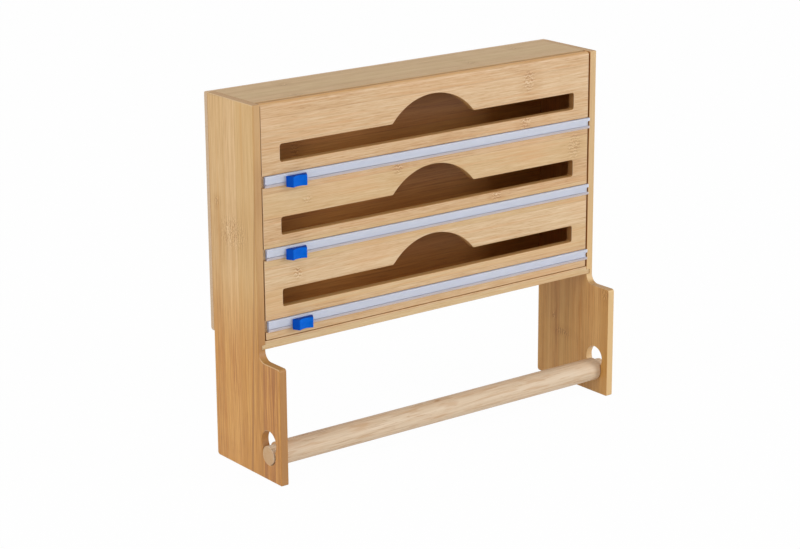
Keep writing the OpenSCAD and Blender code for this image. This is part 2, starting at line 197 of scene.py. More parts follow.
class Wire:
    # one node output: sums and products on it add Math nodes
    def __init__(self, finish, socket):
        self.finish = finish
        self.socket = socket

    def math(self, operation, *others):
        return self.finish.node("Math", {"operation": operation}, dict(enumerate((self,) + others)))

    def __add__(self, other):
        return self.math("ADD", other)

    def __sub__(self, other):
        return self.math("SUBTRACT", other)

    def __rsub__(self, other):
        return self.finish.node("Math", {"operation": "SUBTRACT"}, {0: other, 1: self})

    def __mul__(self, other):
        return self.math("MULTIPLY", other)

    def __truediv__(self, other):
        return self.math("DIVIDE", other)

    def __rtruediv__(self, other):
        return self.finish.node("Math", {"operation": "DIVIDE"}, {0: other, 1: self})

    def __abs__(self):
        return self.math("ABSOLUTE")

    __radd__ = __add__
    __rmul__ = __mul__

    def rise(self, low, high):
        # 0 at low, 1 at high, with soft ends; low may be the larger
        span = {"Value": self, "From Min": low, "From Max": high}
        return self.finish.node("MapRange", {"interpolation_type": "SMOOTHSTEP"}, span)


class Finish:
    # the nodes of one material, or of the world
    def __init__(self, tree):
        self.tree = tree
        tree.nodes.clear()

    def node(self, kind, settings, sockets, out=0):
        made = self.tree.nodes.new("ShaderNode" + kind)
        for key, value in settings.items():
            if key == "stops":
                ramp = made.color_ramp.elements
                while len(ramp) < len(value):
                    ramp.new(1)
                for stop, (place, colour) in zip(ramp, value):
                    stop.position, stop.color = place, colour
            else:
                setattr(made, key, value)
        for key, value in sockets.items():
            if isinstance(value, Wire):
                self.tree.links.new(value.socket, made.inputs[key])
            else:
                made.inputs[key].default_value = value
        return Wire(self, made.outputs[out]) if made.outputs else None

    def mix(self, share, a, b, how="MIX"):
        settings = {"data_type": "RGBA", "blend_type": how}
        return self.node("Mix", settings, {0: share, 6: a, 7: b}, 2)    # 6, 7 and 2 are the colour sockets

    def split(self, vector):
        parts = self.node("SeparateXYZ", {}, {"Vector": vector}).socket.node.outputs
        return [Wire(self, part) for part in parts]

    def place(self, order):
        # millimetres in the part's frame at rest, in the order asked for
        found = dict(zip("xyz", self.split(self.node("TexCoord", {}, {}, "Object"))))
        return [found[letter] / mm for letter in order]

    def facing(self, order):
        found = dict(zip("xyz", self.split(self.node("TexCoord", {}, {}, "Normal"))))
        return [found[letter] for letter in order]

    def scaled(self, place, size):
        # size is how long the pattern is each way, in mm
        x, y, z = (way / length for way, length in zip(place, size))
        return self.node("CombineXYZ", {}, {"X": x, "Y": y, "Z": z})

    def noise(self, place, size, detail=2, roughness=0.5):
        sockets = {"Vector": self.scaled(place, size), "Scale": 1, "Detail": detail, "Roughness": roughness}
        return self.node("TexNoise", {}, sockets, "Fac")

    def skin(self, colour, roughness, height, depth, **fixed):
        # principled surface: height is 0-1, depth its bump in mm
        bump = self.node("Bump", {}, {"Strength": 1, "Distance": depth * mm, "Height": height})
        sockets = {"Base Color": colour, "Roughness": roughness, "Normal": bump}
        sockets.update({key.replace("_", " "): value for key, value in fixed.items()})
        return self.node("BsdfPrincipled", {}, sockets)

    def show(self, shade):
        self.node("OutputMaterial", {}, {"Surface": shade})


def newFinish(name):
    material = bpy.data.materials.new(name)
    material.use_nodes = True
    return material, Finish(material.node_tree)


# bamboo

cane = {
    # patterns: length along the fibres, across the strips and through the board
    "band": (260, 4.5, 4.5), "broad": (260, 11, 11), "cloud": (90, 45, 45), "vessel": (12, 0.7, 0.7),
    "amber": (130, 2.6, 2.6), "amberShift": 156, "sway": (130, 30, 30), "swayBy": 3,
    "ripple": (3, 3.4, 3.4), "rippleBy": 7, "curlPitch": 2.8, "freckle": (1.3, 0.9, 0.9),
    "apart": 900,                                # strips side by side are cut up to this far apart
    "tone": 0.54, "haloTone": 0.1, "stripWarm": 0.2, "jointTone": 0.16, "legJointTone": 0.26,
    "spot": paint(138, 88, 42), "spotShare": 0.35, "glue": paint(150, 100, 54), "glueShare": 0.3,
    "pore": paint(110, 70, 34), "poreShare": 0.4, "endShare": 0.8, "legEdgeShare": 0.6, "arrisHighlightShare": 0.6,
    "bump": 0.06, "coat": 0.1, "coatRough": 0.32,
}
leftLook = {
    "order": "zyx",                              # along the fibres, across the strips, through the board
    "strip": 17, "seed": 3.4, "streak": (60, 1.2, 1.2), "fibre": (22, 0.7, 0.7),
    "grain": {"strip": 0.14, "band": 0.5, "streak": 0.85, "fibre": 0.6, "cloud": 0.3, "dash": 0.14},
    "stops": [(0, paint(158, 110, 58)), (0.2, paint(187, 140, 85)), (0.42, paint(207, 167, 114)),
              (0.62, paint(221, 185, 134)), (1, paint(236, 207, 162))],
    "warm": paint(198, 137, 42), "amber": 0.26, "blush": 0.05,
    "yellow": paint(208, 177, 116), "yellowShare": 0.3,
    "end": paint(178, 132, 72), "cut": paint(194, 147, 96), "cutShare": 0.5, "rough": 0.46,
    "drift": (190, 80), "driftTone": 0.2, "driftGrain": 0.35, "driftBand": 0.95,    # legs: a warmer stretch
    "driftTint": paint(255, 230, 172), "legEdge": paint(168, 116, 60),
    "insideShade": paint(226, 186, 146), "innerSign": 1, "insideShadeFrom": (109.5, 113),    # painted shade inside the box
    "seam": (-8, -0.052), "seamTone": 0.12,      # where the darker front strip ends, and its slant
    "curl": 0.3,
    "knuckles": [(200, 12, 17, 24), (222, 35, 4, 4)],    # along, across, half length, half width
}
rightLook = dict(
    leftLook, seed=6.1, cut=paint(224, 192, 142), legEdge=paint(234, 198, 140), seam=(80, 0),
    driftTone=0, driftGrain=0, driftBand=0.6, driftTint=paint(255, 240, 204), innerSign=-1,
    curl=0.45, knuckles=[(94, -46, 6, 6), (46, 10, 4, 10), (59, 23, 4, 3)],
)
frontLook = {
    "order": "xzy",
    "strip": 21, "seed": 8.5, "streak": (26, 0.9, 0.9), "fibre": (16, 0.6, 0.6),
    "grain": {"strip": 0.22, "band": 0.5, "streak": 0.95, "fibre": 0.85, "cloud": 0.35, "dash": 0.28},
    "stops": [(0, paint(172, 124, 74)), (0.35, paint(207, 168, 121)),
              (0.62, paint(220, 189, 147)), (1, paint(238, 212, 174))],
    "warm": paint(214, 154, 94), "amber": 0.24, "blush": 0.2,
    "yellow": paint(210, 184, 126), "yellowShare": 0.3,
    "end": paint(156, 108, 60), "cut": paint(204, 150, 80), "cutShare": 0.75, "rough": 0.46,
    "curl": 0.4, "knuckles": [(103, 293, 8, 12), (100, 257, 7, 7), (156, 227, 9, 13), (68, 198, 6, 7),
                              (-38, 238, 6, 9), (-129, 227, 6, 5), (-140, 166, 5, 6)],
}
boardLook = {
    "order": "xyz",
    "strip": 20, "seed": 5.7, "streak": (34, 1.1, 1.1), "fibre": (16, 0.7, 0.7),
    "grain": {"strip": 0.2, "band": 0.5, "streak": 0.7, "fibre": 0.6, "cloud": 0.3, "dash": 0.16},
    "stops": [(0, paint(158, 118, 72)), (0.35, paint(191, 155, 108)),
              (0.62, paint(209, 176, 131)), (1, paint(225, 196, 155))],
    "warm": paint(197, 151, 101), "amber": 0.2, "blush": 0.1,
    "yellow": paint(197, 169, 116), "yellowShare": 0.35,
    "end": paint(176, 136, 80), "cut": paint(180, 138, 90), "cutShare": 0.4, "rough": 0.64,
    "curl": 0.3, "knuckles": [(-115, 30, 5, 8), (-130, -8, 6, 7), (60, 8, 5, 9), (130, 32, 5, 8)],
}
backLook = {
    "order": "xzy",
    "strip": 20, "seed": 1.3, "streak": (36, 1.2, 1.2), "fibre": (18, 0.7, 0.7),
    "grain": {"strip": 0.3, "band": 0.8, "streak": 1.2, "fibre": 0.7, "cloud": 0.5, "dash": 0.2},
    "stops": [(0, paint(160, 112, 62)), (0.35, paint(192, 148, 96)),
              (0.62, paint(206, 166, 114)), (1, paint(220, 186, 138))],
    "warm": paint(196, 140, 78), "amber": 0.2, "blush": 0.1,
    "yellow": paint(200, 168, 106), "yellowShare": 0.3,
    "end": paint(206, 178, 146), "cut": paint(200, 166, 126), "cutShare": 0.6, "rough": 0.46,
    "insideShade": paint(255, 217, 156), "innerSign": -1,    # painted shade: a darker, warmer face towards the rolls
    "curl": 0.4, "knuckles": [(-96, 250, 5, 10), (-20, 170, 5, 10), (74, 228, 5, 9),
                              (128, 148, 5, 10), (20, 290, 5, 9)],
}


def bamboo(name, look):
    material, f = newFinish(name)
    place = f.place(look["order"])
    along, side, deep = place
    cell = {"W": side / look["strip"] + look["seed"], "Scale": 1, "Randomness": 0.65}
    oneWay = {"voronoi_dimensions": "1D"}
    picks = f.split(f.node("TexVoronoi", oneWay, cell, "Color"))    # three chance numbers for each strip
    toEdge = f.node("TexVoronoi", dict(oneWay, feature="DISTANCE_TO_EDGE"), cell, "Distance") * look["strip"]
    glue = toEdge.rise(0.3, 0.05)

    reaches = []                                 # the cane's joints, seen as freckled patches
    for u, v, halfLength, halfWidth in look["knuckles"]:
        du, dv = (along - u) / halfLength, (side - v) / halfWidth
        reaches.append(du * du + dv * dv)
    knuckle = sum(reach.rise(1.2, 0) for reach in reaches)
    halo = sum(reach.rise(5, 0.3) for reach in reaches)
    freckle = f.noise(place, cane["freckle"], roughness=0.6)
    spots = knuckle * freckle.rise(0.52, 0.66)

    sway = f.noise(place, cane["sway"]) - 0.5
    ripple = f.noise(place, cane["ripple"], roughness=0.55) - 0.5
    bend = side + sway * cane["swayBy"] + knuckle * ripple * cane["rippleBy"]
    run = along + picks[0] * cane["apart"]       # every strip is its own length of cane
    fibres = run, bend, deep
    band = f.noise(fibres, cane["band"])
    streak = f.noise(fibres, look["streak"], roughness=0.55)
    fibre = f.noise(fibres, look["fibre"], detail=3, roughness=0.6)
    amber = f.noise((run, bend + cane["amberShift"], deep), cane["amber"])
    cloud = f.noise(place, cane["cloud"])
    vessel = f.node("TexVoronoi", {}, {"Vector": f.scaled(fibres, cane["vessel"]), "Scale": 1}, "Distance")
    dash = vessel.rise(0.3, 0.1)

    grain = look["grain"]                        # how far each layer moves the tone
    layers = {"strip": picks[1], "band": band, "streak": streak, "fibre": fibre, "cloud": cloud}
    vary = sum((layer - 0.5) * grain[key] for key, layer in layers.items()) - dash * grain["dash"]
    curl = (bend * (2 * math.pi / cane["curlPitch"])).math("SINE")    # wavy figure in a knuckle
    tone = cane["tone"] - halo * cane["haloTone"] + knuckle * curl * look["curl"]
    if "drift" in look:
        drift = along.rise(*look["drift"])
        broad = f.noise((along, bend, deep), cane["broad"])
        vary = vary * (1 + drift * look["driftGrain"]) + drift * (broad - 0.5) * look["driftBand"]
        edge, slant = look["seam"]
        past = side - edge - along * slant
        joint = abs(past).rise(1.8, 0.5)
        tone = tone - drift * look["driftTone"] - past.rise(0.3, -0.3) * look["seamTone"]
        tone = tone - joint * (cane["jointTone"] + drift * cane["legJointTone"])
        glue = glue.math("MAXIMUM", joint)
    warmth = picks[2] * cane["stripWarm"] + amber.rise(0.52, 0.72) * look["amber"]
    warmth = warmth + cloud.rise(0.48, 0.7) * look["blush"]

    colour = f.node("ValToRGB", {"stops": look["stops"]}, {"Fac": tone + vary})
    colour = f.mix(picks[0].rise(0.35, 0.8) * look["yellowShare"], colour, look["yellow"])
    colour = f.mix(warmth, colour, look["warm"])
    if "drift" in look:
        colour = f.mix(drift, colour, look["driftTint"], "MULTIPLY")
    colour = f.mix(spots * cane["spotShare"], colour, cane["spot"])
    colour = f.mix(glue * cane["glueShare"], colour, cane["glue"])

    endways, _, flat = f.facing(look["order"])
    # painted shade: the faces inside the box are made darker and warmer
    if "insideShade" in look:
        inner = (flat * look["innerSign"]).rise(0.5, 0.9)
        if "insideShadeFrom" in look:
            inner = inner * along.rise(*look["insideShadeFrom"])
        colour = f.mix(inner, colour, look["insideShade"], "MULTIPLY")
    cut = abs(flat).rise(0.85, 0.4)              # sawn edges have a colour of their own
    colour = f.mix(cut * look["cutShare"], colour, look["cut"])
    if "drift" in look:
        colour = f.mix(cut * drift * cane["legEdgeShare"], colour, look["legEdge"])
    endGrain = abs(endways).rise(0.6, 0.9)
    colour = f.mix(endGrain * cane["endShare"], colour, look["end"])
    colour = f.mix(endGrain * vessel.rise(0.45, 0.2) * cane["poreShare"], colour, cane["pore"])
    arrisHighlight = abs(flat * endways).rise(0.2, 0.45)    # painted highlight: pale arrises across the fibres, where the edges catch the light
    palest = look["stops"][-1][1]
    colour = f.mix(arrisHighlight * cane["arrisHighlightShare"], colour, palest)

    roughness = look["rough"] + (0.5 - fibre) * 0.2 + cut * 0.08
    height = 0.6 + (fibre - 0.5) * 0.5 + (streak - 0.5) * 0.4 - dash * 0.35 - glue * 0.4 - spots * 0.4
    coat = {"Coat_Weight": cane["coat"], "Coat_Roughness": cane["coatRough"]}
    f.show(f.skin(colour, roughness, height, cane["bump"], **coat))
    return material


# dowel, plastics, metals

dowelLook = {
    "pithY": -58, "pithZ": 38, "ring": 2.4, "ringLean": 0.012,    # growth rings about a pith outside the bar
    "wander": (160, 14, 14), "wanderBy": 4, "fibre": (30, 0.6, 0.6), "fleck": (9, 0.7, 0.7),
    "cloud": (60, 10, 10), "patch": (26, 3, 3), "line": (34, 1, 1), "lineShift": 40,
    "stops": [(0, paint(180, 145, 106)), (0.4, paint(216, 190, 158)),
              (0.7, paint(230, 208, 180)), (1, paint(242, 224, 200))],
    "cloudTint": paint(216, 180, 142), "patchTint": paint(198, 156, 112), "lineTint": paint(172, 130, 88),
    "knotTint": paint(166, 112, 64), "end": paint(192, 150, 100), "bump": 0.05,
    "knots": [(-8, -35, 33, 4, 2), (-44, -42, 28, 3, 1.2),    # x, y, z, half length, half width
              (96, -42, 30, 4, 1.6), (-120, -41, 31, 5, 1.5)],
}


def dowelWood(name):
    look = dowelLook
    material, f = newFinish(name)
    place = f.place("xyz")
    along, y, z = place
    wander = (f.noise(place, look["wander"]) - 0.5) * look["wanderBy"]
    dy, dz = y - look["pithY"], z - look["pithZ"]
    radius = (dy * dy + dz * dz).math("SQRT") + wander + along * look["ringLean"]
    ring = (radius / look["ring"]).math("FRACT")
    late = ring.rise(0.3, 0.95) * ring.rise(1, 0.95)    # dark late wood, with a crisper outer side
    fibre = f.noise(place, look["fibre"], detail=3, roughness=0.6)
    fleck = f.noise(place, look["fleck"])
    cloud = f.noise(place, look["cloud"])
    patch = f.noise(place, look["patch"])
    line = f.noise((along, y, z + look["lineShift"]), look["line"])
    tone = 0.62 - late * 0.16 + (fibre - 0.5) * 0.6 + (cloud - 0.5) * 0.4 - fleck.rise(0.64, 0.76) * 0.3
    colour = f.node("ValToRGB", {"stops": look["stops"]}, {"Fac": tone})
    colour = f.mix(cloud.rise(0.45, 0.7) * 0.3, colour, look["cloudTint"])
    colour = f.mix(patch.rise(0.5, 0.68) * 0.5, colour, look["patchTint"])
    colour = f.mix(line.rise(0.6, 0.7) * 0.45, colour, look["lineTint"])
    for x0, y0, z0, halfLength, halfWidth in look["knots"]:
        dx, dy, dz = (along - x0) / halfLength, (y - y0) / halfWidth, (z - z0) / halfWidth
        reach = dx * dx + dy * dy + dz * dz + (fleck - 0.5) * 1.5
        colour = f.mix(reach.rise(1.6, 0.2) * 0.6, colour, look["knotTint"])
    endGrain = abs(f.facing("x")[0]).rise(0.6, 0.9)
    colour = f.mix(endGrain * 0.75, colour, look["end"])
    roughness = 0.55 + (0.5 - fibre) * 0.2
    f.show(f.skin(colour, roughness, 0.5 + (fibre - 0.5) * 0.6 - late * 0.2, look["bump"]))
    return material


railLook = {
    "draw": (300, 0.5, 0.5), "haze": (22, 5, 5), "scuff": (4, 0.35, 0.35), "bump": 0.02,
    "plain": paint(229, 234, 255), "drawn": paint(240, 243, 255), "hazy": paint(245, 247, 255),
    "milk": paint(236, 240, 255), "milkShare": 0.26, "hazeShare": 0.16,
    "woodThroughLip": paint(222, 206, 196), "woodThroughShare": 0.8,    # painted tint standing in for the wood seen through the thin lower lip
    "lipH": 2.6, "lipSoft": 0.4, "lipUnder": 0.5,    # its tint starts just under the rail
}


def railPlastic(name):
    look = railLook
    material, f = newFinish(name)
    place = f.place("xyz")
    draw = f.noise(place, look["draw"], detail=3, roughness=0.6)    # faint lines of the extrusion
    haze = f.noise(place, look["haze"], detail=3)
    scuff = f.noise(place, look["scuff"])
    colour = f.mix(draw.rise(0.3, 0.7), look["plain"], look["drawn"])
    colour = f.mix(haze.rise(0.5, 0.8) * 0.35, colour, look["hazy"])
    foot, nextFoot = (sizes(node)[0].z for node in ("lower_rail", "middle_rail"))
    pitch, lipH, soft = nextFoot - foot, look["lipH"], look["lipSoft"]
    start = foot - look["lipUnder"]
    height = ((place[2] - start) / pitch).math("FRACT") * pitch    # over the start of each rail's tint
    # painted tint for the wood seen through each rail's thin lower lip
    colour = f.mix(height.rise(lipH + soft, lipH - soft) * look["woodThroughShare"], colour, look["woodThroughLip"])
    roughness = 0.3 + (haze - 0.5) * 0.2 + scuff.rise(0.6, 0.75) * 0.15
    scatter = {"Subsurface_Weight": 1, "Subsurface_Radius": (1, 1, 1), "Subsurface_Scale": mm}
    surface = f.skin(colour, roughness, draw * 0.7 + scuff * 0.3, look["bump"], **scatter)
    milky = f.node("BsdfTranslucent", {}, {"Color": look["milk"]})
    share = look["milkShare"] + haze * look["hazeShare"]
    f.show(f.node("MixShader", {}, {0: share, 1: surface, 2: milky}))
    return material


knobLook = {
    "texture": (0.3, 0.3, 0.3), "flow": (7, 4, 3), "bump": 0.012, "shine": 0.05,
    "front": paint(4, 98, 212), "swirl": paint(8, 108, 222),
    # painted shade: darker blues for the flanks and for the top and underside
    "flankShade": paint(0, 66, 176), "flankShadeShare": 0.75, "top": paint(0, 48, 146), "topShadeShare": 0.8,
}


def knobPlastic(name):
    look = knobLook
    material, f = newFinish(name)
    place = f.place("xyz")
    texture = f.noise(place, look["texture"], detail=3, roughness=0.6)    # spark-eroded mould
    flow = f.noise(place, look["flow"])
    colour = f.mix(flow.rise(0.2, 0.8), look["front"], look["swirl"])
    across, _, up = f.facing("xyz")              # painted shade: a deeper blue on the flanks, and on the top and underside, where less light falls
    colour = f.mix(abs(across).rise(0.5, 0.9) * look["flankShadeShare"], colour, look["flankShade"])
    colour = f.mix(abs(up).rise(0.5, 0.9) * look["topShadeShare"], colour, look["top"])
    roughness = 0.5 + (texture - 0.5) * 0.16
    f.show(f.skin(colour, roughness, texture, look["bump"], Specular_IOR_Level=look["shine"]))
    return material


shoeLook = {
    "texture": (0.4, 0.4, 0.4), "wear": (3, 0.4, 0.4), "bump": 0.015,
    "clean": paint(196, 198, 206), "worn": paint(164, 166, 176),
}


def shoePlastic(name):
    look = shoeLook
    material, f = newFinish(name)
    place = f.place("xyz")
    texture = f.noise(place, look["texture"], detail=3)
    wear = f.noise(place, look["wear"])          # rubbed along the channel
    colour = f.mix(wear.rise(0.45, 0.7), look["clean"], look["worn"])
    f.show(f.skin(colour, 0.4 + (texture - 0.5) * 0.2, texture, look["bump"]))
    return material


zincLook = {
    "bright": paint(196, 196, 192), "dull": paint(158, 158, 156), "rough": 0.32,
    "brush": (0.6, 0.6, 0.6), "stain": (2.5, 2.5, 2.5), "bump": 0.012,
}
nickelLook = dict(
    zincLook, bright=paint(206, 204, 198), dull=paint(178, 174, 166), rough=0.22, brush=(0.8, 0.8, 3),
)
bladeLook = dict(
    zincLook, bright=paint(200, 202, 206), dull=paint(170, 172, 178), rough=0.25, brush=(0.15, 3, 3),
)


def metal(name, look):
    material, f = newFinish(name)
    place = f.place("xyz")
    brush = f.noise(place, look["brush"], detail=3, roughness=0.6)
    stain = f.noise(place, look["stain"], detail=3)
    colour = f.mix(stain.rise(0.35, 0.7), look["bright"], look["dull"])
    roughness = look["rough"] + (brush - 0.5) * 0.25 + stain * 0.12
    f.show(f.skin(colour, roughness, brush, look["bump"], Metallic=1))
    return material


leftBamboo = bamboo("leftBamboo", leftLook)
rightBamboo = bamboo("rightBamboo", rightLook)
frontBamboo = bamboo("frontBamboo", frontLook)
boardBamboo = bamboo("boardBamboo", boardLook)
backBamboo = bamboo("backBamboo", backLook)
barWood = dowelWood("barWood")
railClear = railPlastic("railClear")
knobBlue = knobPlastic("knobBlue")
shoeWhite = shoePlastic("shoeWhite")
zincSteel = metal("zincSteel", zincLook)
nickelPlate = metal("nickelPlate", nickelLook)
bladeSteel = metal("bladeSteel", bladeLook)
print("finishes made:", len(bpy.data.materials))


# side panels

panelShape = {
    "shoulderDrop": 8.5, "filletR": 8, "shoulderR": 2.4, "heelR": 2.6, "browR": 1, "toeR": 1.2, "rearR": 0.6,
    "outerArris": 0.8, "innerArris": 0.4,
    "seatD": 18.4, "seatFloor": 13.6, "passD": 20.6, "passRise": 9.7,    # keyhole: tenon seat, hole above it
    "glueGap": 0.06, "dadoL": 3.6, "tongueT": 4,
}


def keyhole(y):
    s = panelShape
    seatR, passR, rise = s["seatD"] / 2, s["passD"] / 2, s["passRise"]
    seatZ = s["seatFloor"] + seatR
    meet = (rise ** 2 + seatR ** 2 - passR ** 2) / (2 * rise)    # height where the two circles meet
    seatTurn = math.degrees(math.asin(meet / seatR))
    passTurn = math.degrees(math.asin((meet - rise) / passR))
    seat = arc(y, seatZ, seatR, seatTurn, -180 - seatTurn, steps=40)
    top = arc(y, seatZ + rise, passR, 180 - passTurn, passTurn, steps=44)
    return seat + top[1:-1]


def makePanel(node, name, finish):
    s = panelShape
    low, high = sizes(node)
    board, _ = sizes("bottom_board")
    barLow, barHigh = sizes("towel_bar")
    bar = (barLow + barHigh) / 2
    shoulder = board.z - s["shoulderDrop"]
    outline = rounded([
        (low.y, low.z, s["toeR"]), (high.y, low.z, s["heelR"]), (high.y, high.z, s["rearR"]),
        (board.y, high.z, s["browR"]), (board.y, shoulder, s["filletR"]), (low.y, shoulder, s["shoulderR"]),
    ], steps=10)
    left = low.x < 0
    arrises = (s["outerArris"], s["innerArris"]) if left else (s["innerArris"], s["outerArris"])
    obj = solid(name, slab([outline, keyhole(bar.y)], "x", low.x, high.x, *arrises))

    span = (high.x - s["dadoL"], high.x + overrun) if left else (low.x - overrun, low.x + s["dadoL"])
    gap, tongueT = s["glueGap"], s["tongueT"]
    dadoes = [                                   # board, how far the groove starts before it, its tongue
        ("bottom_board", overrun, tongueT), ("top_board", gap, tongueT),
        ("upper_shelf", gap, None), ("lower_shelf", gap, None),
    ]
    for held, before, tongue in dadoes:
        a, b = sizes(held)
        top = a.z + tongue if tongue else b.z
        groove = rectangle(a.y - before, a.z - gap, high.y + overrun, top + gap)
        carve(obj, slab([groove], "x", *span))
    dress(obj, finish, "side_bamboo", "frame", node)


makePanel("left_side_panel", "leftSideBoard", leftBamboo)
makePanel("right_side_panel", "rightSideBoard", rightBamboo)
print("side panels made")


# boards between the panels, and the back

boardShape = {"arris": 0.6, "rearArris": 0.2}
backShape = {
    "arris": 0.9, "innerArris": 0.4, "cornerR": 4, "topCornerR": 1.2,
    "wallHoleD": 5, "wallHoleX": 130, "wallHoleZ": 281,
    "headD": 6.1, "shankD": 3.1,                 # screws, down both sides and along the top and bottom
    "headSideX": 176.5, "headSideZ": (142.5, 202.5, 262.5), "headX": 110, "headZ": (306.5, 111.5),
}


def tongued(node):
    low, high = sizes(node)
    inner = sizes("right_side_panel")[0].x
    step = low.z + panelShape["tongueT"]
    return [(low.x, low.z), (high.x, low.z), (high.x, step), (inner, step),
            (inner, high.z), (-inner, high.z), (-inner, step), (low.x, step)]


def makeBoard(node, name, outline, finish, slot):
    low, high = sizes(node)
    obj = solid(name, slab([outline], "y", low.y, high.y, boardShape["arris"], boardShape["rearArris"]))
    dress(obj, finish, slot, "frame", node)


def makeBack():
    s = backShape
    low, high = sizes("back_panel")
    r, topR = s["cornerR"], s["topCornerR"]
    corners = [(low.x, low.z, r), (high.x, low.z, r), (high.x, high.z, topR), (low.x, high.z, topR)]
    loops = [rounded(corners)]
    loops += [hole(side * s["wallHoleX"], s["wallHoleZ"], s["wallHoleD"] / 2) for side in (-1, 1)]
    obj = solid("backBoard", slab(loops, "y", low.y, high.y, s["innerArris"], s["arris"]))
    heads = [(side * s["headSideX"], z) for side in (-1, 1) for z in s["headSideZ"]]
    heads += [(side * s["headX"], z) for side in (-1, 1) for z in s["headZ"]]
    sinks = [hole(x, z, s["headD"] / 2)[::-1] for x, z in heads]
    shanks = [hole(x, z, s["shankD"] / 2)[::-1] for x, z in heads]
    cone = (s["headD"] - s["shankD"]) / 2        # as deep as the countersink narrows
    carve(obj, slab(sinks, "y", high.y - cone, high.y + overrun, lowArris=cone, steps=1))
    carve(obj, slab(shanks, "y", low.y - overrun, high.y))
    dress(obj, backBamboo, "board_bamboo", "frame", "back_panel")


makeBoard("top_board", "topBoard", tongued("top_board"), boardBamboo, "board_bamboo")
makeBoard("bottom_board", "bottomBoard", tongued("bottom_board"), frontBamboo, "front_bamboo")
for shelf, name in (("upper_shelf", "upperShelf"), ("lower_shelf", "lowerShelf")):
    low, high = sizes(shelf)
    makeBoard(shelf, name, rectangle(low.x, low.z, high.x, high.z), boardBamboo, "board_bamboo")
makeBack()
print("boards made")


# flap

flapShape = {
    "arris": 0.6, "cornerR": 0.8, "lean": 0.6,   # the left edge leans out towards the top
    "slotMargin": 16.7, "slotAbove": 9.8, "slotH": 14.7, "slotR": 2,
    "gripW": 85.6, "gripH": 20.3, "gripR": 2,
    "grooveSlack": 0.5, "grooveArris": 0.3,
    "noseExtra": 0.002,                          # keeps the nose's tool just off the two faces
}
levels = ("upper", "middle", "lower")


def slotLoop(z, halfLength):
    # clockwise outline of a film slot, its lower edge at z, with the finger grip over it
    s = flapShape
    bow = ((s["gripW"] / 2) ** 2 + s["gripH"] ** 2) / (2 * s["gripH"])    # radius of the grip
    middle = z + s["slotH"] + s["gripH"] - bow
    top = z + s["slotH"]
    r = s["gripR"]
    sideX = math.sqrt((bow + r) ** 2 - (top + r - middle) ** 2)
    lean = math.degrees(math.atan2(top + r - middle, sideX))
    grip = arc(0, middle, bow, lean, 180 - lean, steps=64)
    rightBend = arc(sideX, top + r, r, 270, 180 + lean, steps=6)
    leftBend = [(-x, y) for x, y in reversed(rightBend)]
    box = rectangle(-halfLength, z, halfLength, top, s["slotR"])
    topLeft = len(box) * 3 // 4                  # where the arc of the last of its four corners starts
    loop = box[:topLeft] + rightBend + grip[1:-1] + leftBend + box[topLeft:]
    return loop[::-1]


def makeFlap():
    s = flapShape
    low, high = sizes("front_flap")
    thick = high.y - low.y
    r = s["cornerR"]
    corners = [(low.x, low.z, r), (high.x, low.z, r), (high.x, high.z, r), (low.x - s["lean"], high.z, r)]
    loops = [rounded(corners)]
    for level in levels:
        rail = sizes(level + "_rail")[1]
        loops.append(slotLoop(rail.z + s["slotAbove"], high.x - s["slotMargin"]))
    obj = solid("flapBoard", slab(loops, "y", low.y, high.y, s["arris"], s["arris"]))
    width = low.x - overrun, high.x + overrun
    for level in levels:
        a, b = sizes(level + "_rail")
        edge, top, before = s["grooveArris"], b.z + s["grooveSlack"], low.y - overrun
        groove = [(before, a.z - edge), (low.y, a.z - edge), (low.y + edge, a.z), (b.y, a.z),
                  (b.y, top), (low.y + edge, top), (low.y, top + edge), (before, top + edge)]
        carve(obj, slab([groove[::-1]], "x", *width))
    noseR = thick / 2 + s["noseExtra"]
    nose = arc((low.y + high.y) / 2, high.z - thick / 2, noseR, 0, 180, steps=24)
    nose += [(nose[-1][0], low.z - overrun), (nose[0][0], low.z - overrun)]
    carve(obj, slab([nose], "x", *width), "INTERSECT")
    dress(obj, frontBamboo, "front_bamboo", "flap", "front_flap")


makeFlap()
print("flap made")


# rails and cutters

railShape = {
    "frontT": 0.8, "wallT": 0.6, "frontR": 0.4, "lipR": 0.15, "endArris": 0.2,
    "slitH": 0.51, "slitR": 0.02, "slitDrop": 2.2,
    "notchR": 2, "notchL": 3.2, "notchPast": 0.5,
}
knobShape = {"frontL": 13, "scoop": 2.2, "backR": 0.5, "frontR": 0.7, "arris": 0.6, "steps": 20, "trim": 3}


def makeRail(level):
    s = railShape
    low, high = sizes(level + "_rail")
    middle = (low.z + high.z) / 2
    front, rear = low.y + s["frontT"], high.y - s["wallT"]
    floor, roof = low.z + s["wallT"], high.z - s["wallT"]
    lower, upper = (middle - s["slitDrop"] + side * s["slitH"] / 2 for side in (-1, 1))
    slitR, frontR, lipR = s["slitR"], s["frontR"], s["lipR"]
    outline = rounded([
        (low.y, lower, slitR), (low.y, low.z, frontR), (high.y, low.z, lipR),
        (high.y, high.z, lipR), (low.y, high.z, frontR), (low.y, upper, slitR),
        (front, upper, slitR), (front, roof, lipR), (rear, roof, lipR),
        (rear, floor, lipR), (front, floor, lipR), (front, lower, slitR),
    ], steps=4)
    channel = slab([outline], "x", low.x, high.x, s["endArris"], s["endArris"], steps=2)
    obj = solid(level + "RailChannel", channel)
    notch = arc(high.x - s["notchL"] + s["notchR"], middle, s["notchR"], 90, 270, steps=16)
    notch += [(high.x + overrun, middle - s["notchR"]), (high.x + overrun, middle + s["notchR"])]
    carve(obj, slab([notch], "y", low.y - overrun, front + s["notchPast"]))
    dress(obj, railClear, "rail_plastic", "flap", level + "_rail")


